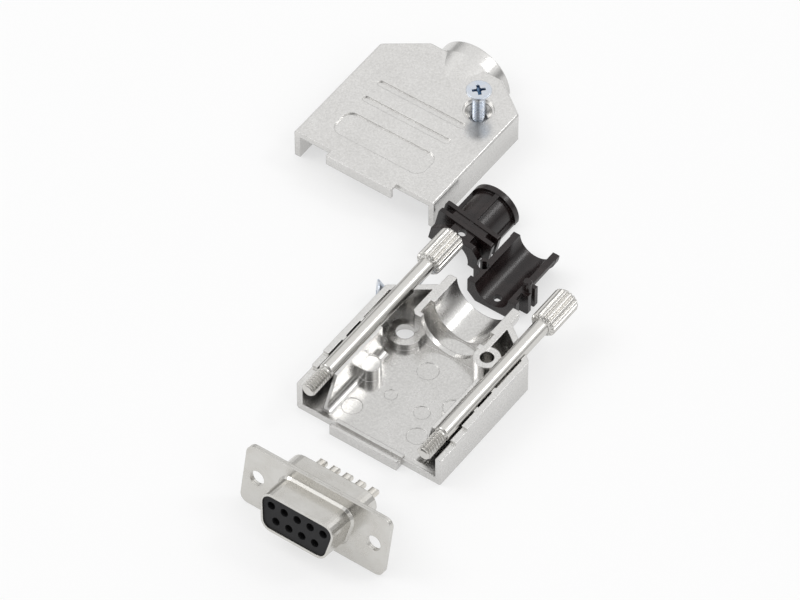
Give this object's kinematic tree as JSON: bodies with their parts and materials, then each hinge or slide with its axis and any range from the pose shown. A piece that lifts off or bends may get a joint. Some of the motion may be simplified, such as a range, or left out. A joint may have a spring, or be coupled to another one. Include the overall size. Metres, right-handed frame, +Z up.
{
  "type": "d-sub hood",
  "caption": "Metal hood kit for a nine-way D-sub connector, laid open on a bench: shells, cable clamp, thumbscrews, screws and socket connector.",
  "frame": {"origin": "centre of the base's underside", "axes": "+Y from the connector end to the cable outlet, +Z up from the base's underside, +X to the right seen from above with the outlet at the back"},
  "size_m": [0.071, 0.1125, 0.0125],
  "materials": {
    "hood_nickel": "satin nickel plate on die-cast zinc",
    "screw_nickel": "bright nickel plate on turned brass",
    "screw_zinc": "blue-white zinc plate",
    "clamp_nylon": "moulded black nylon, satin",
    "connector_shell": "tin-plated pressed steel",
    "insulator": "moulded black plastic",
    "contact_tin": "tin-plated brass"
  },
  "bodies": {
    "kit": {"base_shell": "hood_nickel", "cover_shell": "hood_nickel", "clamp_lower": "clamp_nylon", "clamp_upper": "clamp_nylon", "cover_screw": "screw_zinc", "base_screw": "screw_zinc", "connector_front_shell": "connector_shell", "connector_rear_shell": "connector_shell", "front_insulator": "insulator", "rear_insulator": "insulator", "contact_1": "contact_tin", "contact_2": "contact_tin", "contact_3": "contact_tin", "contact_4": "contact_tin", "contact_5": "contact_tin", "contact_6": "contact_tin", "contact_7": "contact_tin", "contact_8": "contact_tin", "contact_9": "contact_tin"},
    "thumbscrew_left": {"thumbscrew_left": "screw_nickel"},
    "thumbscrew_right": {"thumbscrew_right": "screw_nickel"}
  },
  "joints": [
    {"name": "thumbscrew_left_spin", "type": "hinge", "parent": "kit", "child": "thumbscrew_left", "pos_m": [-0.01249, 0, 0.00735], "axis": [0, 1, 0], "continuous": true},
    {"name": "thumbscrew_right_spin", "type": "hinge", "parent": "kit", "child": "thumbscrew_right", "pos_m": [0.01249, 0, 0.00735], "axis": [0, 1, 0], "continuous": true}
  ]
}
